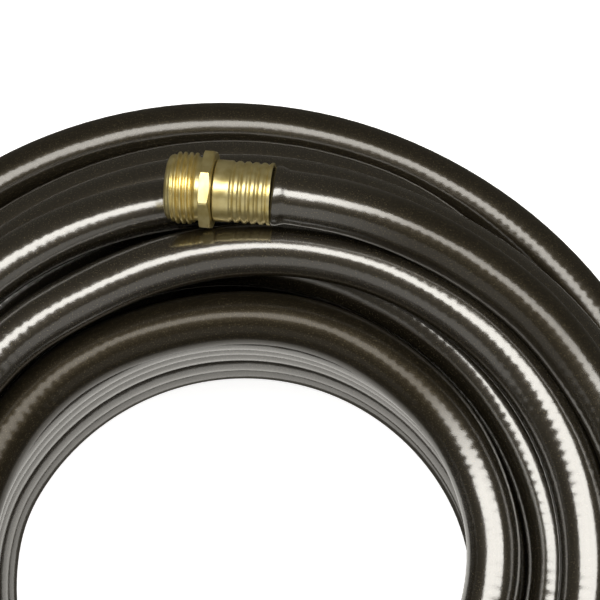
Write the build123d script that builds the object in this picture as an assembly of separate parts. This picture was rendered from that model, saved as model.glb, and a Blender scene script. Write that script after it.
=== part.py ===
from build123d import *
import math
import os

# A 75 ft coil of 5/8 in garden hose with a brass coupling crimped on each end.
# Millimetres. Origin: centre of the coil's footprint on the floor. +Z up.
# Plan angles are counted clockwise from +Y, seen from above, the way the hose is wound.

os.makedirs("parts", exist_ok=True)

# ---- driving dimensions -------------------------------------------------
HOSE_OD = 20.6                    # 13/16 in over the jacket
HOSE_BORE = 15.9                  # 5/8 in bore
JACKET_WALL = 1.0                 # outer vinyl jacket
BRAID_WALL = 0.5                  # knitted reinforcement
HOSE_R = HOSE_OD / 2
BORE_R = HOSE_BORE / 2
BRAID_OUT_R = HOSE_R - JACKET_WALL
LINER_OUT_R = BRAID_OUT_R - BRAID_WALL

COIL_OUT_R = 208.0                # outer wall of the wound coil
COIL_IN_R = 82.0                  # inner wall of the wound coil
COIL_TOP = 141.0                  # top of the highest full turns
COIL_TOP_IN_R = 100.0             # where the level top starts and ends
COIL_TOP_OUT_R = 150.0
COIL_BEVEL = (168.0, 127.0)       # radius and height of the step down to the shoulder
COIL_SHOULDER = 92.0              # top of the outermost column of turns
COIL_INNER_TOP = 122.0            # top of the innermost column of turns

THREAD_R = 13.5                   # 3/4 in garden hose thread, major radius
THREAD_PITCH = 25.4 / 11.5
THREAD_DEPTH = 1.3
THREAD_LENGTH = 10.2
NECK_LENGTH = 3.3
NECK_R = 11.85
FLANGE_FLATS = 28.6               # octagonal wrench flange, across flats
FLANGE_WIDTH = 4.6
FLANGE_TURN = 6.5                 # degrees that the octagon is turned about its axis
FLANGE_CHAMFERS = (1.6, 0.6)      # off the corners, at the hose side and at the thread side
WATERWAY_R = 6.3
STEM_START = 0.6                  # how far inside the ferrule's edge a stem starts
SEAM = 0.4                        # gap between a ferrule and the wrench flange
EDGE = 0.4                        # chamfer on the turned edges
MOUTH_CHAMFER = 1.2
FIRST_THREAD_CHAMFER = (0.7, 0.9)  # off the radius, along the axis

FERRULE_LENGTH = 21.4
FERRULE_R = 11.6
FERRULE_PLAIN = 6.2               # plain band next to the wrench flange
FERRULE_BEAD = 0.15               # rise of the rolled edge that the hose comes out of
CRIMP_PITCH = 3.1
CRIMP_DEPTH = 0.75
CRIMP_WIDTH = 1.5
CRIMP_COUNT = 5

NUT_FLATS = 30.2
NUT_CHAMFERS = (1.4, 1.2)
NUT_START = FERRULE_LENGTH + 2.3
NUT_LENGTH = 17.3
NUT_LIP = 2.4
NUT_CAVITY = 4.6
NUT_MINOR_R = 12.45
NUT_THREAD_DEPTH = 1.25
NUT_CAVITY_GAP = 0.7              # round the tailpiece's head
COUPLING_LENGTH = NUT_START + NUT_LENGTH   # from the ferrule's end to the mouth
SWIVEL_R = 9.6
SWIVEL_CLEARANCE = 0.05
COLLAR_WIDTH = 2.0
HEAD_R = 12.2
HEAD_START = FERRULE_LENGTH + 5.0
HEAD_WIDTH = 1.6
WASHER_THICK = 3.0
WASHER_HOLE_R = 8.0
WASHER_R = 12.2

MALE_EXIT = Vector(16.2, 136.0, 149.5)       # where the hose leaves the male ferrule
MALE_AXIS = Vector(-0.993, 0.100, -0.064).normalized()
NUT_AXIS_HEIGHT = 16.6
FEMALE_EXIT = Vector(-86.0, -192.0, NUT_AXIS_HEIGHT)
FEMALE_AXIS = Vector(-0.9945, 0.1045, 0).normalized()

TIE_ANGLES = (115.0, 180.0, 250.0)
TIE_WIDTH = 7.6
TIE_THICK = 1.4
TIE_GAP = 0.25                    # between a tie and the groove it pulls into the coil
TIE_SIDE_GAP = 1.6                # spare width of that groove
TIE_SINK = 0.4                    # how far a tie lies below the coil's own surface
TIE_HEAD = (13.0, 8.8, 5.2)       # along the strap, across it, thickness
TIE_HEAD_RADIUS = 128.0           # where on the coil's top the heads lie
TIE_HEAD_CORNER_R = 1.2

RECESS_GAP = 0.6                  # between a fitting's corners and the hollow it presses into the coil
RECESS_BACK = 2.0                 # how far the hollow reaches behind the ferrule
RECESS_AHEAD = 5.0                # and beyond the mouth

STANDING = (Align.CENTER, Align.CENTER, Align.MIN)


# ---- helpers ------------------------------------------------------------
def turned(points):
    """A solid of revolution about Z from (radius, height) corners."""
    return revolve(Plane.XZ * make_face(Polyline(*points, close=True)), axis=Axis.Z)


def octagon(flats, start, length):
    """An octagonal bar along Z."""
    sketch = RegularPolygon(radius=flats / 2, side_count=8, major_radius=False)
    return Pos(0, 0, start) * extrude(sketch, length)


def chamfered_octagon(flats, start, length, near, far):
    """An octagonal bar whose corners are turned off at either end."""
    corner = flats / 2 / math.cos(math.pi / 8)
    end = start + length
    cone = turned([(0, start), (corner + 0.1 - near, start), (corner + 0.1, start + near * 0.6),
                   (corner + 0.1, end - far * 0.6), (corner + 0.1 - far, end), (0, end)])
    return octagon(flats, start, length) & cone


def ridges(root_r, crest_r, start, count, pitch):
    """(radius, height) points of a row of ring-shaped thread ridges, going up."""
    points = []
    for i in range(count):
        low = start + i * pitch
        points += [(root_r, low + 0.10 * pitch), (crest_r, low + 0.38 * pitch),
                   (crest_r, low + 0.62 * pitch), (root_r, low + 0.90 * pitch)]
    return points


def on_axis(origin, axis, turn=0.0):
    """The place of a fitting: local Z runs from the hose towards its mouth."""
    side = axis.cross(Vector(0, 0, 1)).normalized()
    return Plane(origin=origin, x_dir=side, z_dir=axis).location * Rot(0, 0, turn)


def write(name, solid):
    export_step(solid, f"parts/{name}.step")


# ---- male end -----------------------------------------------------------
def male_coupling_body():
    """Stem inside the hose, octagonal wrench flange, neck and outside thread."""
    flange_end = FERRULE_LENGTH + FLANGE_WIDTH
    thread_start = flange_end + NECK_LENGTH
    mouth = thread_start + THREAD_LENGTH
    root_r = THREAD_R - THREAD_DEPTH
    count = int(THREAD_LENGTH / THREAD_PITCH)
    back = FERRULE_LENGTH + SEAM
    chamfer_off, chamfer_along = FIRST_THREAD_CHAMFER
    outline = [(WATERWAY_R, STEM_START), (BORE_R, STEM_START), (BORE_R, back),
               (NECK_R, back), (NECK_R, thread_start), (root_r, thread_start)]
    outline += ridges(root_r, THREAD_R, thread_start, count, THREAD_PITCH)
    outline += [(root_r, mouth - chamfer_along), (root_r - chamfer_off, mouth)]
    outline += [(WATERWAY_R + MOUTH_CHAMFER, mouth), (WATERWAY_R, mouth - MOUTH_CHAMFER)]
    flange = chamfered_octagon(FLANGE_FLATS, back, FLANGE_WIDTH - SEAM, *FLANGE_CHAMFERS)
    flange -= Pos(0, 0, FERRULE_LENGTH) * Cylinder(NECK_R - 0.5, FLANGE_WIDTH, align=STANDING)
    return turned(outline) + flange


def ferrule():
    """Crimped brass sleeve over the hose, with a row of crimp grooves."""
    end = FERRULE_LENGTH
    first = end - FERRULE_PLAIN
    bead_r = FERRULE_R + FERRULE_BEAD
    outline = [(HOSE_R, 0.0), (bead_r, 0.0), (bead_r, 0.5), (FERRULE_R, 1.2)]
    for i in reversed(range(CRIMP_COUNT)):
        middle = first - CRIMP_WIDTH / 2 - i * CRIMP_PITCH
        half = CRIMP_WIDTH / 2
        crimp_r = FERRULE_R - CRIMP_DEPTH
        outline += [(FERRULE_R, middle - half), (crimp_r, middle - half / 2),
                    (crimp_r, middle + half / 2), (FERRULE_R, middle + half)]
    outline += [(FERRULE_R, end - EDGE), (FERRULE_R - EDGE, end), (HOSE_R, end)]
    return turned(outline)


# ---- female end ---------------------------------------------------------
def female_tailpiece():
    """Stem inside the hose, collar, swivel neck and the flared head that holds the nut."""
    neck = FERRULE_LENGTH + COLLAR_WIDTH
    outline = [(WATERWAY_R, STEM_START), (BORE_R, STEM_START), (BORE_R, FERRULE_LENGTH)]
    outline += [(FERRULE_R, FERRULE_LENGTH), (FERRULE_R, neck), (SWIVEL_R, neck), (SWIVEL_R, HEAD_START)]
    outline += [(HEAD_R, HEAD_START), (HEAD_R, HEAD_START + HEAD_WIDTH), (WATERWAY_R, HEAD_START + HEAD_WIDTH)]
    return turned(outline)


def swivel_nut():
    """Octagonal nut that turns on the tailpiece, with an inside thread."""
    lip_end = NUT_START + NUT_LIP
    cavity_end = lip_end + NUT_CAVITY
    mouth = COUPLING_LENGTH
    root_r = NUT_MINOR_R + NUT_THREAD_DEPTH
    lip_r = SWIVEL_R + SWIVEL_CLEARANCE
    cavity_r = HEAD_R + NUT_CAVITY_GAP
    count = int((mouth - cavity_end) / THREAD_PITCH)
    core = [(0, NUT_START - 1), (lip_r, NUT_START - 1), (lip_r, lip_end)]
    core += [(cavity_r, lip_end), (cavity_r, cavity_end)]
    core += ridges(root_r, NUT_MINOR_R, cavity_end, count, THREAD_PITCH)
    core += [(root_r, mouth - 0.6), (root_r + 0.5, mouth + 0.1), (root_r + 0.5, mouth + 1), (0, mouth + 1)]
    body = chamfered_octagon(NUT_FLATS, NUT_START, NUT_LENGTH, *NUT_CHAMFERS)
    return body - turned(core)


def sealing_washer():
    """Flat rubber washer against the tailpiece's head, carried by the nut's thread."""
    start = HEAD_START + HEAD_WIDTH + 0.1
    end = start + WASHER_THICK
    return turned([(WASHER_HOLE_R, start), (WASHER_R, start), (WASHER_R, end), (WASHER_HOLE_R, end)])


# ---- hose ends ----------------------------------------------------------
def bent_path(name, points):
    """Straight runs joined by tangent arcs as large as the runs allow."""
    radii = []
    for before, corner, after in zip(points, points[1:], points[2:]):
        turn = (corner - before).get_angle(after - corner)
        shorter = min((corner - before).length, (after - corner).length)
        radii.append(0.45 * shorter / math.tan(math.radians(turn / 2)))
    print(name, "bend radii", [round(r) for r in radii])
    return FilletPolyline(*points, radius=radii)


def hose_layer(path, inner, outer):
    """One layer of the hose wall along a path."""
    section = Plane(origin=path @ 0, z_dir=path % 0) * (Circle(outer) - Circle(inner))
    layer = sweep(section, path=path)
    expected = math.pi * (outer ** 2 - inner ** 2) * path.length
    print("  layer volume over section times length", round(layer.volume / expected, 4))
    return layer


def write_hose_end(name, points):
    path = bent_path(name, points)
    write(f"{name}_jacket", hose_layer(path, BRAID_OUT_R, HOSE_R))
    write(f"{name}_braid", hose_layer(path, LINER_OUT_R, BRAID_OUT_R))
    write(f"{name}_liner", hose_layer(path, BORE_R, LINER_OUT_R))


MALE_END_POINTS = [
    MALE_EXIT + MALE_AXIS * (FERRULE_LENGTH - 0.1),
    MALE_EXIT - MALE_AXIS * 14,
    Vector(64.0, 125.8, 146.0),
    Vector(95.5, 110.0, 139.0),
    Vector(123.0, 87.0, 133.5),
]

FEMALE_END_POINTS = [
    Vector(-9.0, -197.8, HOSE_R),
    Vector(-34.0, -197.3, 11.2),
    Vector(-60.0, -194.9, 14.6),
    Vector(-77.0, -192.9, NUT_AXIS_HEIGHT),
    FEMALE_EXIT + FEMALE_AXIS * (FERRULE_LENGTH - 0.1),
]


# ---- coil and ties ------------------------------------------------------
def coil_outline(inset):
    """The coil's cross-section, pulled in by an inset, as a face in the XZ plane."""
    corners = [(COIL_IN_R, 0), (COIL_OUT_R, 0), (COIL_OUT_R, COIL_SHOULDER), COIL_BEVEL,
               (COIL_TOP_OUT_R, COIL_TOP), (COIL_TOP_IN_R, COIL_TOP), (COIL_IN_R, COIL_INNER_TOP)]
    face = make_face(Polyline(*corners, close=True))
    face = fillet(face.vertices(), HOSE_R)
    if inset:
        face = offset(face, amount=-inset)
    return face


def tie_place(angle):
    """Turns the XZ cross-section plane to a tie's plan angle."""
    return Rot(0, 0, 90 - angle)


def slab(face, width):
    """A flat cross-section face made into a slab centred on its plane."""
    return Plane.XZ * extrude(face, width / 2, both=True)


def fitting_recess(place, flats, end):
    """The hollow that an octagonal fitting presses into the coil beside it."""
    recess_r = flats / 2 / math.cos(math.pi / 8) + RECESS_GAP
    return place * Pos(0, 0, -RECESS_BACK) * Cylinder(recess_r, end + RECESS_BACK, align=STANDING)


def hose_coil(male_place, female_place):
    """One closed solid of the wound coil's outer shape."""
    ring = revolve(Plane.XZ * coil_outline(0), axis=Axis.Z)
    around = offset(coil_outline(0), amount=8)
    groove = slab(around - coil_outline(TIE_SINK + TIE_THICK + TIE_GAP), TIE_WIDTH + TIE_SIDE_GAP)
    for angle in TIE_ANGLES:
        ring -= tie_place(angle) * groove
    # The male end's hollow leaves room for the coupling that screws onto it.
    ring -= fitting_recess(male_place, FLANGE_FLATS, COUPLING_LENGTH * 2 + RECESS_AHEAD)
    ring -= fitting_recess(female_place, NUT_FLATS, COUPLING_LENGTH + RECESS_AHEAD)
    return ring


def tie_strap():
    """A flat strap round the coil's cross-section."""
    return slab(coil_outline(TIE_SINK) - coil_outline(TIE_SINK + TIE_THICK), TIE_WIDTH)


def tie_head():
    """The locking head of a tie, on top of the strap."""
    along, across, thick = TIE_HEAD
    box = Box(along, across, thick, align=STANDING)
    box = fillet(box.edges().filter_by(Axis.Z), TIE_HEAD_CORNER_R)
    return Pos(TIE_HEAD_RADIUS, 0, COIL_TOP - TIE_SINK) * box


# ---- write every node ---------------------------------------------------
male_place = on_axis(MALE_EXIT, MALE_AXIS, FLANGE_TURN)
female_place = on_axis(FEMALE_EXIT, FEMALE_AXIS)

write("male_coupling_body", male_place * male_coupling_body())
write("male_ferrule", male_place * ferrule())
write("female_ferrule", female_place * ferrule())
write("female_tailpiece", female_place * female_tailpiece())
write("swivel_nut", female_place * swivel_nut())
write("sealing_washer", female_place * sealing_washer())
write_hose_end("male_end", MALE_END_POINTS)
write_hose_end("female_end", FEMALE_END_POINTS)
write("hose_coil", hose_coil(male_place, female_place))
for number, angle in enumerate(TIE_ANGLES, start=1):
    write(f"tie_{number}_strap", tie_place(angle) * tie_strap())
    write(f"tie_{number}_head", tie_place(angle) * tie_head())
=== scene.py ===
import math

import bmesh
import bpy
import numpy as np
from mathutils import Matrix, Vector


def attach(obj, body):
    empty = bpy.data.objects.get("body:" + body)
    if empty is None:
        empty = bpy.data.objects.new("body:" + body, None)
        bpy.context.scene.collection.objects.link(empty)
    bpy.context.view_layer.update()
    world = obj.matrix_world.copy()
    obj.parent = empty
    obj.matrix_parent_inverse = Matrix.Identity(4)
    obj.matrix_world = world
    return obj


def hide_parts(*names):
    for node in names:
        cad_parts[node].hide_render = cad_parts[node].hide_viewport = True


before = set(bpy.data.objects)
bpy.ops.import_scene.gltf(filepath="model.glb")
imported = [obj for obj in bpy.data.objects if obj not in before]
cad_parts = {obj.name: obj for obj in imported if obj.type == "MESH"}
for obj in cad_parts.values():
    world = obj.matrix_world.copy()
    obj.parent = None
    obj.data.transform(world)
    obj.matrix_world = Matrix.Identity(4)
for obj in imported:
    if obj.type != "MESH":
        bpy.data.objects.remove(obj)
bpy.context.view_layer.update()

MM = 0.001

# ---- sizes, in millimetres ----------------------------------------------
HOSE_OD = 20.6
HOSE_R = HOSE_OD / 2
TURN_GAP = 0.15                   # air left between two turns
SWELL_FLAT = 1.8                  # beyond a ferrule, how far the hose stays swollen
SWELL_END = 6.0                   # and where it is back to its own size
SWELL = 1.1

WATERWAY_R = 6.3
BORE_R = 7.95
FERRULE_LENGTH = 21.4
FERRULE_R = 11.6
FERRULE_PLAIN = 6.2
CRIMP_PITCH = 3.1
CRIMP_DEPTH = 0.65
CRIMP_FIRST = 0.75                # from the plain band to the middle of the first groove
CRIMP_HALF = 1.2
CRIMP_COUNT = 5
FLANGE_FLATS = 28.6
FLANGE_WIDTH = 4.6
FLANGE_CHAMFERS = (1.6, 0.6)      # towards the ferrule and towards the thread
FLANGE_TURN = 6.5
NECK_LENGTH = 2.3                 # plain waist between the flange and the thread
NECK_R = 11.85
THREAD_R = 13.5
THREAD_PITCH = 25.4 / 11.5
THREAD_DEPTH = 1.3
THREAD_LENGTH = 11.2
NOSE_LENGTH = 1.2                 # plain length between the thread's fading end and the mouth
NOSE_ROUND = 1.6
THREAD_FADE = 3.0                 # over which the thread's end runs out
EDGE = 0.14                       # radius of a turned edge
SEAM = 0.4                        # dark gap between flange and ferrule
NUT_FLATS = 30.2
NUT_START = FERRULE_LENGTH + 2.3
NUT_LENGTH = 17.3
NUT_LIP = 2.4
NUT_CAVITY = 4.6
NUT_CAVITY_GAP = 0.7
NUT_MINOR_R = 12.45
NUT_THREAD_DEPTH = 1.25
NUT_CHAMFERS = (1.4, 1.2)
NUT_MOUTH = 0.6
SWIVEL_R = 9.6
SWIVEL_GAP = 0.05
HEAD_R = 12.2
HEAD_START = FERRULE_LENGTH + 5.0
HEAD_WIDTH = 1.6
WASHER_THICK = 3.0
WASHER_R = 12.2
WASHER_HOLE_R = 8.0

MALE_EXIT = Vector((16.2, 136.0, 149.5))
MALE_AXIS = Vector((-0.993, 0.100, -0.064)).normalized()
FEMALE_EXIT = Vector((-86.0, -192.0, 16.6))
FEMALE_AXIS = Vector((-0.9945, 0.1045, 0.0)).normalized()

TIE_ANGLES = (115.0, 180.0, 250.0)  # plan angles of the three cable ties
TIE_WIDTH = 7.6
TIE_THICK = 1.4
TIE_HEAD_RADIUS = 128.0           # how far out along the strap the head sits
TIE_HEAD_SIZE = (13.0, 9.8, 5.2)  # along the strap, across it, off it
TIE_TAIL_LENGTH = 13.0

# ---- how the turns lie --------------------------------------------------
# Plan angles run clockwise from +Y. Radii are from the winding's own axis.
WINDING_AXIS = Vector((-4.0, 8.0, 0.0))
STEP = 15                         # degrees between two points of a turn
UNSEEN_FROM, UNSEEN_TO = 95, 275  # the near half, where turns change places
CHANGE_HALF = 28                  # half the angle that a change of place takes

# The turns that lie on top: (angle, radius, height) where each one passes.
TOP_TURNS = {
    "end": [(0, 129, 150), (15, 131, 150.2), (20, 132.5, 149), (30, 136, 145.5), (40, 140.5, 140),
            (50, 145.3, 136), (57, 148.8, 133.5), (66, 153, 130), (80, 157, 124), (95, 159, 120)],
    "under_end": [(-75, 135, 129), (-45, 134, 131), (-25, 132.3, 130), (-3, 133, 123), (12, 135.5, 124),
                  (30, 140, 124), (41, 144.5, 119), (57, 152, 111), (75, 155, 105), (95, 156, 102)],
    "middle": [(-75, 112, 128), (-45, 109.2, 130), (-30, 106, 131), (-10, 108, 131), (6, 112.5, 131),
               (24, 118.3, 131), (41, 124.3, 130), (50, 127.5, 127), (58, 131, 124), (67, 134.5, 121),
               (80, 137, 119), (95, 138, 118)],
    "valley": [(-75, 110, 108), (0, 110, 108), (32, 116.2, 108), (50, 120, 103), (60, 122.5, 101),
               (95, 128, 98)],
    "inner": [(-75, 93.5, 113), (-45, 90.8, 113), (-31, 88.8, 113), (-12, 87.1, 113), (6, 89.6, 113),
              (24, 93.2, 113), (42, 95.8, 112), (64, 101, 111), (95, 105, 110)],
    "shelf": [(-75, 155, 96), (-30, 156, 94), (0, 160, 89), (30, 161, 86), (45, 162, 74), (95, 164, 70)],
    "shoulder": [(-75, 141, 112), (-45, 142, 113), (-20, 145, 111), (10, 148, 107), (27, 150.5, 105),
                 (41, 155.5, 100), (50, 161, 95), (57, 164, 93), (75, 168, 92), (95, 170, 92)],
    "outer": [(-75, 179.5, 82), (-30, 180, 82), (0, 179.5, 80), (30, 180.6, 74), (50, 182, 72),
              (95, 184, 70)],
}
# Where a top turn is in sight and has to keep its place.
IN_SIGHT = {"end": (0, 95), "under_end": (-80, 12), "middle": (-80, 95), "valley": (28, 95),
            "inner": (-80, 95), "shelf": (-80, 38), "shoulder": (-80, 95), "outer": (-80, 95),
            "column_0": (-80, 95)}
# The columns of turns below: (column, shift outwards, height) of each turn, in the order the hose takes.
COLUMNS = [
    [(0, 3.1, 93.1), (0, 5.6, 72.4), (0, 7.6, 51.7), (0, 7.4, 31.0), (0, 8.2, 10.3)],
    [(1, 6.0, 10.3), (1, 4.5, 40.0), (1, 3.0, 75.0)],
    [(2, 1.5, 85.0), (2, 2.5, 60.0), (2, 3.5, 35.0), (2, 4.5, 10.3)],
    [(3, 4.0, 10.3), (3, 3.0, 38.0), (3, 2.0, 66.0)],
]
OUTER_COLUMN = [(4, 1.0, 50.0), (4, 2.5, 31.0), (4, 4.0, 10.3)]


def smooth(low, high, value):
    """0 below low, 1 above high, and a smooth step between."""
    t = min(max((value - low) / (high - low), 0.0), 1.0)
    return t * t * (3 - 2 * t)


def inner_radius(angle):
    """Radius of the innermost column at a plan angle from -180 to 180."""
    turn = math.radians(angle)
    return 103 + 5 * math.sin(turn) - 15 * math.cos(turn) - 12 * smooth(70, 180, abs(angle))


def outer_radius(angle):
    """Radius of the outermost column."""
    share = min(max((abs(angle) - 60) / 120, 0.0), 1.0)
    return 177.5 + 4.6 * (1 - math.cos(math.pi * share))


def list_turns():
    """(name, rule) of every turn from the male end to the female end."""
    turns = [(name, None) for name in ("end", "under_end", "middle", "valley", "inner")]
    for column in COLUMNS:
        turns += [(f"column_{rule[0]}", rule) for rule in column]
    turns += [(name, None) for name in ("shelf", "shoulder", "outer")]
    turns += [("column_4", rule) for rule in OUTER_COLUMN]
    return turns


TURNS = list_turns()
# The middle of the arc, on the unseen side, over which one turn passes to the next one's place.
CHANGES = {("end", "under_end"): 255, ("under_end", "middle"): 228, ("middle", "valley"): 200,
           ("valley", "inner"): 172, ("inner", "column_0"): 140, ("column_0", "column_0"): 140,
           ("column_0", "column_1"): 190, ("column_1", "column_1"): 205, ("column_1", "column_2"): 180,
           ("column_2", "column_2"): 150, ("column_2", "column_3"): 190, ("column_3", "column_3"): 220,
           ("column_3", "shelf"): 220, ("shelf", "shoulder"): 200, ("shoulder", "outer"): 165,
           ("outer", "column_4"): 130, ("column_4", "column_4"): 130}
# How far a turn rises where it climbs over another on its way.
HUMPS = {("shoulder", "outer"): 14.0, ("under_end", "middle"): 8.0}
# How turns settle: (in sight, out of sight) pull towards the goal, and give to what pushes.
PULL = (0.35, 0.01)
GIVE = (0.12, 1.0)
STRAIGHTEN = 0.25                 # share of a kink that a turn out of sight loses in a round
PUSH = 0.54                       # share of an overlap that one push undoes


def place(number, angle):
    """(radius, height) of a turn's own place at a plan angle."""
    name, rule = TURNS[number]
    low, high = inner_radius(angle), outer_radius(angle)
    if rule is not None:
        column, shift, height = rule
        return low + column * (high - low) / 4 + shift, height
    angles, radii, heights = zip(*TOP_TURNS[name])
    held = min(max(angle, angles[0]), angles[-1])
    radius = float(np.interp(held, angles, radii))
    share = (radius - inner_radius(held)) / (outer_radius(held) - inner_radius(held))
    return (radius if held == angle else low + share * (high - low)), float(np.interp(held, angles, heights))


def wanted(running):
    """Turn number and (radius, height) at a running angle; turn n spans 360 n - 180 to 360 n + 180."""
    number = int((running + 180) // 360)
    angle = (running + 180) % 360 - 180
    near = angle if angle >= 0 else angle + 360
    before, after = (number, number + 1) if angle >= 0 else (number - 1, number)
    if near < UNSEEN_FROM - 5 or near > UNSEEN_TO or before < 0 or after >= len(TURNS):
        return number, place(min(number, len(TURNS) - 1), angle)
    names = TURNS[before][0], TURNS[after][0]
    share = smooth(CHANGES[names] - CHANGE_HALF, CHANGES[names] + CHANGE_HALF, near)
    start, end = place(before, angle), place(after, angle)
    radius = start[0] + (end[0] - start[0]) * share
    height = start[1] + (end[1] - start[1]) * share + HUMPS.get(names, 0.0) * math.sin(math.pi * share)
    return number, (radius, height)


def settle_turns(first, last, rounds=600):
    """Lets the turns push each other apart, round after round; the ones in sight give way least."""
    running = np.arange(first, last + 1, STEP)
    found = [wanted(a) for a in running]
    goal = np.array([spot for _, spot in found])
    held = []
    for a, (number, _) in zip(running, found):
        angle = (a + 180) % 360 - 180
        low, high = IN_SIGHT.get(TURNS[min(number, len(TURNS) - 1)][0], (1, 0))
        held.append(low <= angle <= high)
    held = np.array(held)
    pull = np.where(held, *PULL)[:, None]
    give = np.where(held, *GIVE)
    lift = np.zeros(len(running))
    for tie in TIE_ANGLES:
        off = np.abs((running - tie + 180) % 360 - 180)
        lift = np.maximum(lift, (TIE_THICK + 0.4) * np.clip(1.6 - off / 15, 0, 1))
    sections = [np.where(running % 360 == a)[0] for a in range(0, 360, STEP)]
    spots = goal.copy()
    for _ in range(rounds):
        spots += pull * (goal - spots)
        bend = np.zeros_like(spots)
        bend[1:-1] = (spots[:-2] + spots[2:]) / 2 - spots[1:-1]
        spots += STRAIGHTEN * bend * give[:, None]
        for _ in range(2):
            for section in sections:
                here = spots[section]
                apart = here[:, None] - here[None]
                far = np.maximum(np.hypot(apart[..., 0], apart[..., 1]), 1e-3) + np.eye(len(section)) * 1e3
                overlap = np.clip(HOSE_OD + TURN_GAP - far, 0, None)
                mine = give[section]
                share = mine[:, None] / (mine[:, None] + mine[None])
                spots[section] += PUSH * ((apart / far[..., None]) * (overlap * share)[..., None]).sum(1)
            spots[:, 1] = np.maximum(spots[:, 1], HOSE_R + lift)
    return running, spots


# The stretches that aren't coiled, point by point.
MALE_END_POINTS = [MALE_EXIT + MALE_AXIS * (FERRULE_LENGTH - 0.1), MALE_EXIT - MALE_AXIS * 14,
                   Vector((64.0, 125.8, 146.0)), Vector((95.5, 110.0, 139.0)), Vector((123.0, 87.0, 133.5))]
FEMALE_END_POINTS = [Vector((16.0, -197.2, 12.4)), Vector((-9.0, -197.8, 12.2)),
                     Vector((-34.0, -197.3, 11.6)), Vector((-60.0, -194.9, 14.6)),
                     Vector((-77.0, -192.9, 16.6)),
                     FEMALE_EXIT + FEMALE_AXIS * (FERRULE_LENGTH - 0.1)]
COIL_FROM = 75                                        # running angle where the first full turn starts
COIL_TO = 360 * (len(TURNS) - 1) + 165


def hose_route():
    """Control points of the whole hose, in millimetres, from the male ferrule to the female one."""
    running, spots = settle_turns(COIL_FROM, COIL_TO)
    # The spline runs inside its control points, through the middles of the chords between them.
    outward = 1 / (0.75 + 0.25 * math.cos(math.radians(STEP)))
    points = list(MALE_END_POINTS)
    for angle, (radius, height) in zip(np.radians(running), spots * (outward, 1)):
        points.append(WINDING_AXIS + Vector((radius * math.sin(angle), radius * math.cos(angle), height)))
    return points + FEMALE_END_POINTS


def spline_points(points, resolution):
    """Points along the smooth NURBS route through those control points, in millimetres."""
    curve = bpy.data.curves.new("hose_route", "CURVE")
    curve.dimensions = "3D"
    curve.resolution_u = resolution
    spline = curve.splines.new("NURBS")
    spline.points.add(len(points) - 1)
    for spot, point in zip(spline.points, points):
        spot.co = (point.x * MM, point.y * MM, point.z * MM, 1.0)
    spline.order_u = 3
    spline.use_endpoint_u = True
    spline.resolution_u = resolution
    holder = bpy.data.objects.new("hose_route", curve)
    bpy.context.scene.collection.objects.link(holder)
    bpy.context.view_layer.update()
    mesh = bpy.data.meshes.new_from_object(holder.evaluated_get(bpy.context.evaluated_depsgraph_get()))
    line = np.array([v.co[:] for v in mesh.vertices]) / MM
    bpy.data.meshes.remove(mesh)
    bpy.data.objects.remove(holder)
    bpy.data.curves.remove(curve)
    return line


# ---- mesh helpers -------------------------------------------------------
def grid_piece(name, rows, along, looped=False, capped=False, sharp=35):
    """An object from rows x columns x 3 points in millimetres; every row is a closed ring.

    The UV map holds the distance along in metres and the share of the way round."""
    rows = np.asarray(rows, float)
    count, around = rows.shape[:2]
    last = count if looped else count - 1
    i, j = np.meshgrid(np.arange(last), np.arange(around), indexing="ij")
    ahead, side = (i + 1) % count, (j + 1) % around
    corners = [i * around + j, i * around + side, ahead * around + side, ahead * around + j]
    faces = np.stack(corners, -1).reshape(-1, 4).tolist()
    if capped:
        faces.append(list(range(around))[::-1])
        faces.append(list(range((count - 1) * around, count * around)))
    mesh = bpy.data.meshes.new(name)
    mesh.from_pydata((rows.reshape(-1, 3) * MM).tolist(), [], faces)
    run = np.append(along, 2 * along[-1] - along[-2]) * MM
    uv = np.stack([run[i], j / around, run[i], (j + 1) / around, run[i + 1], (j + 1) / around,
                   run[i + 1], j / around], -1).reshape(-1)
    layer = mesh.uv_layers.new(name="surface")
    whole = np.zeros(len(mesh.loops) * 2, np.float32)
    whole[:len(uv)] = uv
    layer.data.foreach_set("uv", whole)
    work = bmesh.new()
    work.from_mesh(mesh)
    bmesh.ops.remove_doubles(work, verts=work.verts, dist=0.002 * MM)
    bmesh.ops.recalc_face_normals(work, faces=work.faces)
    work.to_mesh(mesh)
    work.free()
    mesh.shade_smooth()
    mesh.set_sharp_from_angle(angle=math.radians(sharp))
    made = bpy.data.objects.new(name, mesh)
    bpy.context.scene.collection.objects.link(made)
    return made


def run_lengths(points):
    """Distance along a line at each of its points."""
    return np.append(0, np.cumsum(np.linalg.norm(np.diff(np.asarray(points, float), axis=0), axis=1)))


def softened(corners, radius):
    """An open (radius, height) outline, each corner between its ends cut back and eased by three points."""
    made = [corners[0]]
    for before, here, after in zip(corners, corners[1:], corners[2:]):
        before, here, after = Vector(before), Vector(here), Vector(after)
        back, ahead = before - here, after - here
        cut = min(radius, back.length * 0.45, ahead.length * 0.45)
        first = here + back.normalized() * cut
        last = here + ahead.normalized() * cut
        made += [tuple(first), tuple((first + last) * 0.25 + here * 0.5), tuple(last)]
    return made + [corners[-1]]


def round_piece(name, profile, angles, place_at):
    """A turned, milled or threaded piece. profile(angle) gives its closed (radius, height) outline there."""
    outlines = np.array([profile(a) for a in angles])
    rows = np.stack([outlines[..., 0] * np.cos(angles)[:, None], outlines[..., 0] * np.sin(angles)[:, None],
                     outlines[..., 1]], -1).transpose(1, 0, 2)
    rows = rows @ np.array(place_at.to_3x3()).T + np.array(place_at.translation)
    along = run_lengths(outlines[0])
    return grid_piece(name, rows, along, looped=True)


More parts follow.
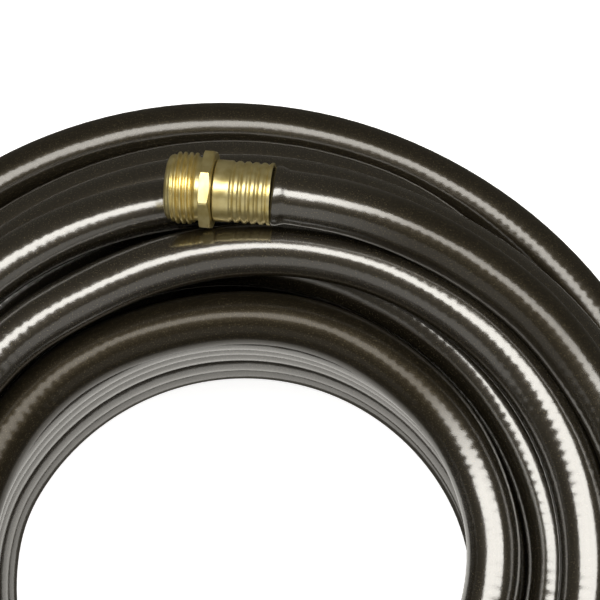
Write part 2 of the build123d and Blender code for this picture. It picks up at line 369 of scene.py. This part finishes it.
def fitting_place(origin, axis, turn=0.0):
    """Puts local Z along a fitting's axis, from the hose towards its mouth."""
    side = axis.cross(Vector((0, 0, 1))).normalized()
    base = Matrix((side, axis.cross(side), axis)).transposed().to_4x4()
    return Matrix.Translation(origin) @ base @ Matrix.Rotation(math.radians(turn), 4, "Z")


# ---- fittings -----------------------------------------------------------
CORNER_CUT = 0.1                  # how much is broken off an octagon's corners
CHAMFER_SLOPE = 0.6               # along the axis for each millimetre inwards
ROUND = np.arange(96) * 2 * math.pi / 96


def corner_radius(flats):
    """Distance from the axis to an octagon's uncut corner."""
    return flats / 2 / math.cos(math.pi / 8)


def octagon_radius(flats, angle):
    """Distance from the axis to an octagon's side, with its corners just broken."""
    off = angle % (math.pi / 4) - math.pi / 8
    return min(flats / 2 / math.cos(off), corner_radius(flats) - CORNER_CUT)


def octagon_angles(flats, between=8):
    """Angles that follow an octagon's corners closely and its sides loosely."""
    cut = math.pi / 8 - math.acos(flats / 2 / (corner_radius(flats) - CORNER_CUT))
    angles = []
    for k in range(8):
        corner = math.radians(45 * k)
        angles += [corner - 2 * cut, corner - cut, corner, corner + cut, corner + 2 * cut]
        side = math.pi / 4 - 4 * cut
        angles += [corner + 2 * cut + side * i / (between + 1) for i in range(1, between + 1)]
    return np.array(sorted(a % (2 * math.pi) for a in angles))


def milled_octagon(flats, start, end, near, far, angle):
    """(radius, height) corners of an octagonal bar at one angle, its corners turned off at both ends."""
    outside = corner_radius(flats) + 0.1
    side = octagon_radius(flats, angle)
    made = []
    for height, off, inward in ((start, near, 1), (end, far, -1)):
        face_r = min(side, outside - off)
        meets = height + inward * max(side - (outside - off), 0.0) * CHAMFER_SLOPE
        pair = [(face_r, height), (side, meets if side > face_r else height + inward * 0.02)]
        made += pair if inward > 0 else pair[::-1]
    return made


def thread_height(height, start, angle):
    """Rise of the thread above its root, 0 to 1, where the helix passes."""
    phase = ((height - start) / THREAD_PITCH - angle / (2 * math.pi)) % 1
    return smooth(0.06, 0.40, phase) - smooth(0.60, 0.94, phase)


def ferrule_profile(angle):
    """Crimped sleeve, its grooves pressed by jaws that leave a faint mark between them."""
    first = FERRULE_LENGTH - FERRULE_PLAIN
    heights = np.arange(1.4, FERRULE_LENGTH - 0.5, 0.2)
    made = softened([(HOSE_R + 0.05, 0.5), (HOSE_R + 0.25, 0.0), (FERRULE_R + 0.12, 0.0),
                     (FERRULE_R + 0.12, 0.6), (FERRULE_R, 1.2)], 0.2)
    for height in heights:
        radius = FERRULE_R
        for groove in range(CRIMP_COUNT):
            off = abs(height - (first - CRIMP_FIRST - CRIMP_PITCH * groove))
            if off < CRIMP_HALF:
                radius -= CRIMP_DEPTH * (0.5 + 0.5 * math.cos(math.pi * off / CRIMP_HALF))
        made.append((radius + 0.02 * math.cos(6 * angle + height), height))
    made += softened([(FERRULE_R, FERRULE_LENGTH - 0.45), (FERRULE_R, FERRULE_LENGTH - 0.3),
                      (FERRULE_R - 0.35, FERRULE_LENGTH), (HOSE_R + 0.05, FERRULE_LENGTH),
                      (HOSE_R + 0.05, 0.6)], 0.12)
    return made


def male_coupling_profile(angle):
    """Stem, wrench flange, neck and outside thread."""
    flange_end = FERRULE_LENGTH + FLANGE_WIDTH
    thread_start = flange_end + NECK_LENGTH
    mouth = thread_start + THREAD_LENGTH
    root_r = THREAD_R - THREAD_DEPTH
    back = FERRULE_LENGTH + SEAM
    stem = [(WATERWAY_R, 0.8), (WATERWAY_R, 0.6), (BORE_R - 0.05, 0.6), (BORE_R - 0.05, back - 0.2),
            (BORE_R + 1.5, back)]
    flange = milled_octagon(FLANGE_FLATS, back, flange_end, *FLANGE_CHAMFERS, angle)
    neck = [(NECK_R, flange_end), (NECK_R, thread_start - 0.5), (root_r, thread_start)]
    made = softened(stem + flange + neck, EDGE)
    rows = 80
    for i in range(1, rows):
        height = thread_start + THREAD_LENGTH * i / rows
        to_mouth = mouth - height
        fade = smooth(0.0, 0.7, height - thread_start)
        fade *= smooth(NOSE_LENGTH, NOSE_LENGTH + THREAD_FADE, to_mouth)
        rise = THREAD_DEPTH * thread_height(height, thread_start, angle) * fade
        inside = max(0.0, NOSE_ROUND - to_mouth)
        rounding = NOSE_ROUND - math.sqrt(NOSE_ROUND ** 2 - inside ** 2)
        made.append((root_r + rise - rounding, height))
    made += softened([(root_r - NOSE_ROUND * 0.75, mouth - 0.04), (root_r - NOSE_ROUND, mouth),
                      (WATERWAY_R + 1.2, mouth), (WATERWAY_R, mouth - 1.2), (WATERWAY_R, 1.0)], EDGE)
    return made


def female_tailpiece_profile(angle):
    """Stem, collar, swivel neck and the flared head that holds the nut."""
    neck = FERRULE_LENGTH + 2.0
    head_end = HEAD_START + HEAD_WIDTH
    return softened([(WATERWAY_R, 0.8), (WATERWAY_R, 0.6), (BORE_R - 0.05, 0.6),
                     (BORE_R - 0.05, FERRULE_LENGTH + 0.1), (FERRULE_R - 0.1, FERRULE_LENGTH + 0.1),
                     (FERRULE_R - 0.1, neck), (SWIVEL_R, neck), (SWIVEL_R, HEAD_START), (HEAD_R, HEAD_START),
                     (HEAD_R, head_end), (WATERWAY_R, head_end), (WATERWAY_R, 1.0)], 0.2)


def swivel_nut_profile(angle):
    """Octagonal nut with a lip that turns behind the tailpiece's head, and an inside thread."""
    lip_end = NUT_START + NUT_LIP
    cavity_end = lip_end + NUT_CAVITY
    mouth = NUT_START + NUT_LENGTH
    root_r = NUT_MINOR_R + NUT_THREAD_DEPTH
    lip_r, cavity_r = SWIVEL_R + SWIVEL_GAP, HEAD_R + NUT_CAVITY_GAP
    thread_end = mouth - NUT_MOUTH
    outside = milled_octagon(NUT_FLATS, NUT_START, mouth, *NUT_CHAMFERS, angle)
    made = softened([(lip_r, lip_end - 0.2), (lip_r, NUT_START)] + outside
                    + [(root_r + 0.5, mouth), (root_r, thread_end)], 0.16)
    rows = 72
    for i in range(1, rows):
        height = thread_end - (thread_end - cavity_end) * i / rows
        rise = thread_height(height, mouth, -angle) * smooth(0.0, 1.2, height - cavity_end)
        made.append((root_r - NUT_THREAD_DEPTH * rise, height))
    made += softened([(root_r, cavity_end), (cavity_r, cavity_end - 0.3), (cavity_r, lip_end),
                      (lip_r, lip_end), (lip_r, lip_end - 0.1)], 0.16)
    return made


def washer_profile(angle):
    """Rubber washer, its edges rounded."""
    start = HEAD_START + HEAD_WIDTH + 0.1
    end = start + WASHER_THICK
    middle = (start + end) / 2
    return softened([(WASHER_HOLE_R, middle), (WASHER_HOLE_R, start), (WASHER_R, start), (WASHER_R, end),
                     (WASHER_HOLE_R, end), (WASHER_HOLE_R, middle + 0.1)], 0.7)


# ---- hose ---------------------------------------------------------------
def hose_radius(from_male, from_female):
    """The hose swells where a ferrule grips it, and is squeezed inside the ferrule."""
    near = min(from_male, from_female) - FERRULE_LENGTH
    if near < -0.2:
        return HOSE_R - 0.15
    return HOSE_R + SWELL * (1 - smooth(SWELL_FLAT, SWELL_END, near)) * smooth(-0.4, 0.8, near)


def hose_piece(line, around=26):
    """The hose's skin along its route, with a blind bore as deep as a ferrule at each end."""
    line = np.asarray(line)
    coarse = run_lengths(line)
    total = coarse[-1]
    # Rows stand closer together where the hose swells out of a ferrule.
    close = np.append((0.0, 10.0), np.arange(FERRULE_LENGTH - 1.5, FERRULE_LENGTH + 9, 0.5))
    between = coarse[(coarse > close[-1] + 1) & (coarse < total - close[-1] - 1)]
    distance = np.concatenate([close, between, total - close[::-1]])
    line = np.stack([np.interp(distance, coarse, line[:, k]) for k in range(3)], -1)
    tangent = np.gradient(line, distance, axis=0)
    tangent /= np.linalg.norm(tangent, axis=1)[:, None]
    side = np.cross(tangent, (0, 0, 1))
    side /= np.linalg.norm(side, axis=1)[:, None]
    up = np.cross(side, tangent)
    angles = np.arange(around) * 2 * math.pi / around
    spread = side[:, None] * np.cos(angles)[None, :, None] + up[:, None] * np.sin(angles)[None, :, None]
    radii = np.array([hose_radius(d, total - d) for d in distance])
    skin = line[:, None] + spread * radii[:, None, None]
    bore = line[:, None] + spread * BORE_R
    deep = 5                      # the row where the blind bore ends
    rows = [bore[deep], bore[0]] + list(skin) + [bore[-1], bore[-1 - deep]]
    along = np.concatenate([[-20, -3], distance, [total + 3, total + 20]])
    return grid_piece("garden_hose", rows, along, capped=True, sharp=60)


# ---- ties ---------------------------------------------------------------
def crossings(line, angle):
    """(radius, height) where the hose crosses the upright half plane at a plan angle, from the origin."""
    turn = math.radians(angle)
    outward = np.array((math.sin(turn), math.cos(turn), 0))
    ahead = np.array((math.cos(turn), -math.sin(turn), 0))
    level, radial = line @ ahead, line @ outward
    found = []
    for i in np.where((level[:-1] < 0) != (level[1:] < 0))[0]:
        share = level[i] / (level[i] - level[i + 1])
        radius = radial[i] + (radial[i + 1] - radial[i]) * share
        if radius > 0:
            found.append((radius, line[i][2] + (line[i + 1][2] - line[i][2]) * share))
    return found


def hull(points):
    """Corners of the convex hull, anticlockwise."""
    points = sorted(set((round(x, 4), round(y, 4)) for x, y in points))
    halves = []
    for run in (points, points[::-1]):
        half = []
        for p in run:
            while len(half) > 1 and ((half[-1][0] - half[-2][0]) * (p[1] - half[-2][1])
                                     - (half[-1][1] - half[-2][1]) * (p[0] - half[-2][0])) <= 0:
                half.pop()
            half.append(p)
        halves += half[:-1]
    return halves


def strap_line(line, angle, off):
    """A closed line round the bundle of turns at a tie, as a tight band takes it."""
    ring = []
    spokes = [(r + off * math.cos(a), z + off * math.sin(a)) for r, z in crossings(line, angle)
              for a in np.arange(72) * math.pi / 36]
    corners = hull(spokes)
    for here, after in zip(corners, corners[1:] + corners[:1]):
        gap = math.dist(here, after)
        steps = max(1, int(gap / 6))
        ring += [(here[0] + (after[0] - here[0]) * k / steps, here[1] + (after[1] - here[1]) * k / steps)
                 for k in range(steps)]
    return np.array(ring)


def tie_frame(angle):
    """Matrix from (outward, up, along the turns) at a tie to the shared frame."""
    turn = math.radians(angle)
    outward = Vector((math.sin(turn), math.cos(turn), 0))
    ahead = Vector((math.cos(turn), -math.sin(turn), 0))
    return Matrix((outward, Vector((0, 0, 1)), ahead)).transposed()


def strap_section(half_width, half_thick):
    """A flat strap's section: (off the bundle, across), its edges rounded."""
    edge = half_thick * 0.8
    return [(-half_thick, -half_width + edge), (-half_thick, 0.0), (-half_thick, half_width - edge),
            (-half_thick * 0.4, half_width), (half_thick * 0.4, half_width), (half_thick, half_width - edge),
            (half_thick * 1.08, 0.0), (half_thick, -half_width + edge), (half_thick * 0.4, -half_width),
            (-half_thick * 0.4, -half_width)]


def strap_piece(name, line, angle):
    """A cable tie's strap, pulled tight round the coil."""
    ring = strap_line(line, angle, HOSE_R + TIE_THICK / 2 + 0.05)
    before, after = np.roll(ring, 1, axis=0), np.roll(ring, -1, axis=0)
    direction = after - before
    direction /= np.linalg.norm(direction, axis=1)[:, None]
    normal = np.stack([direction[:, 1], -direction[:, 0]], -1)
    frame_at = np.array(tie_frame(angle))
    rows = []
    for spot, out in zip(ring, normal):
        section = [(spot[0] + out[0] * off, spot[1] + out[1] * off, across)
                   for off, across in strap_section(TIE_WIDTH / 2, TIE_THICK / 2)]
        rows.append(np.array(section) @ frame_at.T)
    rows = np.array(rows)
    return grid_piece(name, rows, run_lengths(rows[:, 0]), looped=True, sharp=50)


def box_rows(half_x, half_y, low, high, corner, edge):
    """Rings of a box with rounded corners and softened top and bottom edges, from low to high."""
    rows = []
    levels = [(low, edge), (low + edge * 0.3, edge * 0.3), (low + edge, 0), (high - edge, 0),
              (high - edge * 0.3, edge * 0.3), (high, edge)]
    for level, inset in levels:
        ring = []
        for k, (sx, sy) in enumerate(((1, 1), (-1, 1), (-1, -1), (1, -1))):
            for step in range(5):
                a = math.pi / 2 * (k + step / 4)
                ring.append((sx * (half_x - corner) + (corner - inset) * math.cos(a),
                             sy * (half_y - corner) + (corner - inset) * math.sin(a), level))
        rows.append(ring)
    return np.array(rows)


def tie_head_piece(name, line, angle):
    """The tie's locking head, a rounded block on the strap's upper run, and what places its tail."""
    ring = strap_line(line, angle, HOSE_R + TIE_THICK / 2)
    top = ring[np.abs(ring[:, 0] - TIE_HEAD_RADIUS) < 16]
    spot = max(top, key=lambda p: p[1] - 0.02 * abs(p[0] - TIE_HEAD_RADIUS))
    k = int(np.argmin(np.linalg.norm(ring - spot, axis=1)))
    lean = math.atan2(*(ring[(k - 1) % len(ring)] - ring[(k + 1) % len(ring)])[::-1])
    if abs(lean) > math.pi / 2:
        lean -= math.copysign(math.pi, lean)
    base = spot[1] + TIE_THICK / 2 * 0.2
    frame_at = np.array(tie_frame(angle))

    def placed(rows):
        rows = np.array(rows, float)
        c, n = math.cos(lean), math.sin(lean)
        out = rows[..., 0] * c - rows[..., 2] * n
        up = rows[..., 0] * n + rows[..., 2] * c
        return np.stack([spot[0] + out, base + up, rows[..., 1]], -1) @ frame_at.T

    length, width, thick = TIE_HEAD_SIZE
    body = placed(box_rows(length / 2, width / 2, 0.0, thick, 1.2, 0.5))
    made = grid_piece(name, body, run_lengths(body[:, 0]), capped=True, sharp=40)
    return made, placed


def tie_tail_piece(name, placed):
    """The trimmed tail that sticks out of the head, ribbed and narrowing towards its end."""
    rows = []
    for share in np.linspace(0.0, 1.0, 18):
        half = TIE_WIDTH / 2 * (0.86 if share < 0.75 else 0.86 - 0.5 * (share - 0.75) / 0.25)
        lift = 4.6 + 2.2 * math.sin(share * 1.3)
        ridge = 0.12 * (1 if int(share * 34) % 2 else 0)
        section = [(5.6 + TIE_TAIL_LENGTH * share, across, lift + off) for off, across in
                   strap_section(half, TIE_THICK * 0.42 + ridge)]
        rows.append(section)
    rows = placed(rows)
    return grid_piece(name, rows, run_lengths(rows[:, 0]), capped=True, sharp=40)


# ---- materials ----------------------------------------------------------
class Shader:
    """A node material being put together."""

    def __init__(self, name):
        self.material = bpy.data.materials.new(name)
        self.material.use_nodes = True
        self.nodes = self.material.node_tree.nodes
        self.links = self.material.node_tree.links
        self.surface = self.nodes["Principled BSDF"]

    def add(self, kind, settings=None, **inputs):
        """A node. Each input, named or i and its number, is a number, a colour or another node's socket."""
        made = self.nodes.new(kind)
        for key, value in (settings or {}).items():
            setattr(made, key, value)
        for key, value in inputs.items():
            socket = made.inputs[int(key[1:])] if key[0] == "i" and key[1:].isdigit() else made.inputs[key]
            self.feed(socket, value)
        return made

    def feed(self, socket, value):
        """Links a socket to another node's, or sets its value."""
        if isinstance(value, bpy.types.NodeSocket):
            self.links.new(value, socket)
        else:
            socket.default_value = value

    def set(self, **values):
        """Feeds the surface shader's sockets."""
        for key, value in values.items():
            self.feed(self.surface.inputs[key.replace("_", " ")], value)

    def math(self, operation, a, b=0.0, c=0.0):
        return self.add("ShaderNodeMath", {"operation": operation}, i0=a, i1=b, i2=c).outputs[0]

    def noise(self, scale, detail=2.0, roughness=0.5, vector=None):
        made = self.add("ShaderNodeTexNoise", None, Scale=scale, Detail=detail, Roughness=roughness)
        self.feed(made.inputs["Vector"], vector or self.add("ShaderNodeTexCoord").outputs["Object"])
        return made.outputs["Fac"]

    def ramp(self, value, *stops):
        made = self.add("ShaderNodeValToRGB", None, Fac=value)
        elements = made.color_ramp.elements
        while len(elements) < len(stops):
            elements.new(0.5)
        for element, (place_at, colour) in zip(elements, stops):
            element.position = place_at
            element.color = (*colour, 1.0)
        return made.outputs["Color"]

    def bump(self, height, distance, normal=None):
        made = self.add("ShaderNodeBump", None, Height=height, Distance=distance, Strength=1.0)
        if normal is not None:
            self.links.new(normal, made.inputs["Normal"])
        return made.outputs["Normal"]

    def surface_map(self):
        """(along in metres, share of the way round) sockets."""
        uv = self.add("ShaderNodeUVMap", {"uv_map": "surface"}).outputs["UV"]
        split = self.add("ShaderNodeSeparateXYZ", None, Vector=uv)
        return split.outputs["X"], split.outputs["Y"]


KNIT_ROW = 0.0042                 # metres along the hose between rows of yarn
KNIT_WALES = 12                   # rows of yarn round the hose
DULL_FADE = 0.05                  # metres over which the gloss comes back

# Stretches with less gloss: (turn, plan angle, half length in metres, share of the gloss lost).
DULL_STRETCHES = [("inner", -15, 0.105, 0.88), ("outer", 0, 0.24, 0.55), ("end", 46, 0.030, 0.68)]


def dull_stretches(line):
    """(distance along, half length, share of gloss lost) of each duller stretch, lengths in metres."""
    along = run_lengths(line) * MM
    made = []
    for name, angle, half, lost in DULL_STRETCHES:
        angles, radii, heights = zip(*TOP_TURNS[name])
        radius, height = float(np.interp(angle, angles, radii)), float(np.interp(angle, angles, heights))
        turn = math.radians(angle)
        spot = WINDING_AXIS + Vector((radius * math.sin(turn), radius * math.cos(turn), height))
        nearest = int(np.argmin(np.linalg.norm(np.asarray(line) - np.array(spot), axis=1)))
        made.append((float(along[nearest]), half, lost))
    return made


def vinyl_material(line):
    """Glossy dark bronze vinyl over a knitted yarn that shows through as faint beads."""
    made = Shader("hose_vinyl")
    along, around = made.surface_map()
    rows = made.math("MULTIPLY", along, 2 * math.pi / KNIT_ROW)
    wales = made.math("MULTIPLY", around, 2 * math.pi * KNIT_WALES)
    drift = made.math("MULTIPLY", along, 2 * math.pi * 1.3)
    beads = made.math("ADD", made.math("COSINE", rows), made.math("COSINE", made.math("ADD", wales, drift)))
    beads = made.math("MULTIPLY", beads, made.ramp(made.noise(60, 1), (0.35, (0.35,) * 3), (0.65, (1,) * 3)))
    waves = made.noise(45, 2)
    peel = made.noise(420, 2)
    normal = made.bump(beads, 0.000024)
    normal = made.bump(waves, 0.0004, normal=normal)
    normal = made.bump(peel, 0.00003, normal=normal)
    normal = made.bump(made.noise(1100, 2), 0.000018, normal=normal)
    flake = made.noise(1900, 1, 0.6)
    colour = made.ramp(flake, (0.42, (0.0080, 0.0065, 0.0040)), (0.60, (0.0140, 0.0110, 0.0065)),
                       (0.72, (0.060, 0.049, 0.028)))
    coat = 1.0
    for centre, half, lost in dull_stretches(line):
        off = made.math("ABSOLUTE", made.math("SUBTRACT", along, centre))
        dull = made.add("ShaderNodeMapRange", {"interpolation_type": "SMOOTHSTEP"}, Value=off,
                        i1=half, i2=half + DULL_FADE, i3=1.0, i4=0.0).outputs[0]
        coat = made.math("MULTIPLY_ADD", dull, -lost, coat)
    made.set(Base_Color=colour, Roughness=0.40, Metallic=0.0, Normal=normal, Coat_Weight=coat,
             Coat_Roughness=0.18, Coat_IOR=2.2, Coat_Normal=normal, Specular_IOR_Level=0.5,
             Specular_Tint=(0.60, 0.48, 0.30, 1.0))
    return made.material


def brass_material():
    """Turned brass, a little dull between its bright edges."""
    made = Shader("brass")
    along, around = made.surface_map()
    stretched = made.add("ShaderNodeCombineXYZ", None, X=made.math("MULTIPLY", along, 2600.0),
                         Y=made.math("MULTIPLY", around, 5.0)).outputs[0]
    marks = made.noise(1.0, 3, 0.6, vector=stretched)
    dull = made.noise(260, 2, 0.5)
    colour = made.ramp(dull, (0.35, (0.72, 0.59, 0.24)), (0.65, (0.86, 0.74, 0.37)))
    rough = made.math("ADD", made.math("MULTIPLY", dull, 0.14), 0.25)
    normal = made.bump(marks, 0.000008)
    normal = made.bump(dull, 0.00001, normal=normal)
    made.set(Base_Color=colour, Metallic=0.88, Roughness=rough, Normal=normal)
    return made.material


def rubber_material():
    """Black moulded rubber."""
    made = Shader("washer_rubber")
    grain = made.noise(1500, 3, 0.6)
    colour = made.ramp(grain, (0.35, (0.012, 0.012, 0.012)), (0.7, (0.035, 0.034, 0.033)))
    made.set(Base_Color=colour, Roughness=0.62, Normal=made.bump(grain, 0.00003))
    return made.material


def nylon_material():
    """Black nylon with a moulded sheen and fine ribs across the strap."""
    made = Shader("tie_nylon")
    along, _ = made.surface_map()
    ribs = made.math("SINE", made.math("MULTIPLY", along, 2 * math.pi / 0.0016))
    grain = made.noise(700, 3, 0.5)
    colour = made.ramp(grain, (0.3, (0.010, 0.010, 0.011)), (0.75, (0.026, 0.026, 0.027)))
    normal = made.bump(ribs, 0.00002)
    normal = made.bump(grain, 0.00003, normal=normal)
    made.set(Base_Color=colour, Roughness=0.36, Normal=normal)
    return made.material


def give(piece, material, slot, body, *nodes):
    """Material, body and the CAD nodes that a piece stands for. The slot is not used."""
    piece.data.materials.clear()
    piece.data.materials.append(material)
    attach(piece, body)
    if nodes:
        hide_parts(*nodes)
    return piece


# ---- the model ----------------------------------------------------------
def make_model():
    """Every shown piece, its material, and the CAD nodes that it stands for."""
    line = spline_points(hose_route(), 6)
    vinyl, brass, rubber, nylon = vinyl_material(line), brass_material(), rubber_material(), nylon_material()
    male = fitting_place(MALE_EXIT, MALE_AXIS, FLANGE_TURN)
    female = fitting_place(FEMALE_EXIT, FEMALE_AXIS)

    flange_angles, nut_angles = octagon_angles(FLANGE_FLATS), octagon_angles(NUT_FLATS)
    give(round_piece("male_ferrule_sleeve", ferrule_profile, ROUND, male),
         brass, "brass", "hose", "male_ferrule")
    give(round_piece("male_coupling", male_coupling_profile, flange_angles, male),
         brass, "brass", "hose", "male_coupling_body")
    on_hose = [
        give(round_piece("female_ferrule_sleeve", ferrule_profile, ROUND, female),
             brass, "brass", "hose", "female_ferrule"),
        give(round_piece("female_stem", female_tailpiece_profile, ROUND, female),
             brass, "brass", "hose", "female_tailpiece"),
        give(round_piece("coupling_nut", swivel_nut_profile, nut_angles, female),
             brass, "brass", "swivel_nut", "swivel_nut"),
        give(round_piece("hose_washer", washer_profile, ROUND, female),
             rubber, "washer_rubber", "swivel_nut", "sealing_washer"),
    ]
    hose = give(hose_piece(line), vinyl, "hose_vinyl", "hose", "hose_coil",
                "male_end_jacket", "male_end_braid", "male_end_liner",
                "female_end_jacket", "female_end_braid", "female_end_liner")
    for number, angle in enumerate(TIE_ANGLES, start=1):
        strap = strap_piece(f"cable_tie_{number}_strap", line, angle)
        give(strap, nylon, "tie_nylon", "hose", f"tie_{number}_strap")
        head, placed = tie_head_piece(f"cable_tie_{number}_head", line, angle)
        give(head, nylon, "tie_nylon", "hose", f"tie_{number}_head")
        give(tie_tail_piece(f"cable_tie_{number}_tail", placed), nylon, "tie_nylon", "hose")


# ---- stage, lights, camera ----------------------------------------------
TARGET = Vector((26.4, 99.0, 135.0)) * MM
ELEVATION = 76.0
DISTANCE = 0.65
SENSOR_WIDTH = 36.0
LENS = 103.56
LIGHT_COLOUR = (1.0, 0.98, 0.93)
WORLD_GLOW = (0.088, 0.082, 0.068, 1)
FLOOR_HALF = 1.6


def soft_light(name, centre, tilt, size, radiance, shape="RECTANGLE"):
    """A soft light of an even brightness, given as radiance. tilt turns it about X, from facing down."""
    area = size[0] * size[1] * (math.pi / 4 if shape == "ELLIPSE" else 1.0)
    data = bpy.data.lights.new(name, "AREA")
    data.shape = shape
    data.size, data.size_y = size
    data.color = LIGHT_COLOUR
    data.energy = radiance * math.pi * area
    made = bpy.data.objects.new(name, data)
    made.location = centre
    made.rotation_euler = (math.radians(tilt), 0, 0)
    made.visible_camera = False
    bpy.context.scene.collection.objects.link(made)


def make_stage():
    """A pale floor that reads as white, a long softbox, a low card in front and a glow inside the coil."""
    half = FLOOR_HALF
    corners = [(-half, -half, 0), (half, -half, 0), (half, half, 0), (-half, half, 0)]
    mesh = bpy.data.meshes.new("studio_floor")
    mesh.from_pydata(corners, [], [(0, 1, 2, 3)])
    floor = bpy.data.objects.new("studio_floor", mesh)
    bpy.context.scene.collection.objects.link(floor)
    paint = Shader("studio_floor")
    pale = paint.ramp(paint.noise(8, 2), (0.3, (0.80, 0.80, 0.80)), (0.7, (0.82, 0.82, 0.82)))
    paint.set(Base_Color=pale, Roughness=0.9, Emission_Color=pale, Emission_Strength=1.0)
    # The floor neither lights the hose nor mirrors in it; the lights below do that evenly.
    floor.visible_glossy = False
    floor.visible_diffuse = False
    mesh.materials.append(paint.material)

    soft_light("top_softbox", (0.03, 0.10, 1.6), 0, (2.1, 0.62), 6.0)
    soft_light("front_card", (0.0, -2.0, 0.95), 80, (4.4, 2.1), 0.45)
    soft_light("floor_glow", (-0.004, 0.008, 0.0005), 180, (0.155, 0.155), 0.9, "ELLIPSE")

    world = bpy.data.worlds.new("studio")
    bpy.context.scene.world = world
    world.use_nodes = True
    nodes, links = world.node_tree.nodes, world.node_tree.links
    dim = nodes["Background"]
    dim.inputs["Color"].default_value = WORLD_GLOW
    pale = nodes.new("ShaderNodeBackground")
    pale.inputs["Color"].default_value = (1, 1, 1, 1)
    seen = nodes.new("ShaderNodeLightPath")
    mix = nodes.new("ShaderNodeMixShader")
    links.new(seen.outputs["Is Camera Ray"], mix.inputs[0])
    links.new(dim.outputs[0], mix.inputs[1])
    links.new(pale.outputs[0], mix.inputs[2])
    links.new(mix.outputs[0], nodes["World Output"].inputs["Surface"])
    bpy.context.scene.view_settings.view_transform = "Standard"


def make_camera():
    """A long lens that looks down on the far half of the coil."""
    data = bpy.data.cameras.new("camera")
    data.sensor_width = SENSOR_WIDTH
    data.lens = LENS
    camera = bpy.data.objects.new("camera", data)
    tilt = math.radians(90 - ELEVATION)
    camera.location = TARGET + Vector((0, -math.sin(tilt), math.cos(tilt))) * DISTANCE
    camera.rotation_euler = (tilt, 0, 0)
    bpy.context.scene.collection.objects.link(camera)
    bpy.context.scene.camera = camera


make_model()
make_stage()
make_camera()
